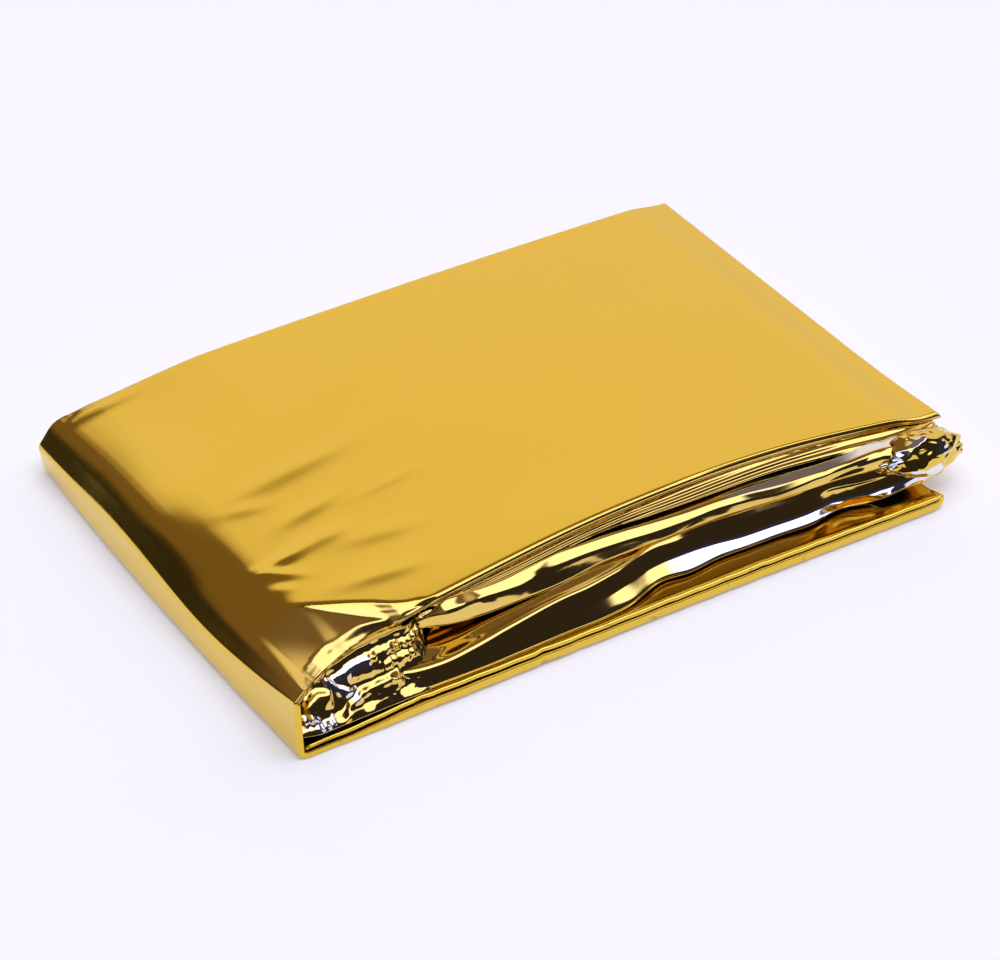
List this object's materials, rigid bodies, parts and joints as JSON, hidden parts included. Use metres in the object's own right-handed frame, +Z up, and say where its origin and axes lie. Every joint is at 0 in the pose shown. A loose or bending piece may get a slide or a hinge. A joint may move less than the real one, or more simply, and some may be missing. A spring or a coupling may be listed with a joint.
{
  "type": "emergency blanket, folded",
  "caption": "Gold and silver foil emergency blanket folded back and forth into a flat rectangular packet, layered and crumpled along one long side.",
  "frame": {"origin": "on the surface the packet lies on, under the middle of its bounding box", "axes": "+X along the packet, from the wrapped short end to the open short end; +Y across it, away from the long side where the layers show; +Z up"},
  "size_m": [0.1384, 0.0974, 0.0155],
  "materials": {
    "foil": "metallised polyester film, bright gold outside and silver inside"
  },
  "bodies": {
    "root": {"foil_blanket": "foil"}
  },
  "joints": []
}
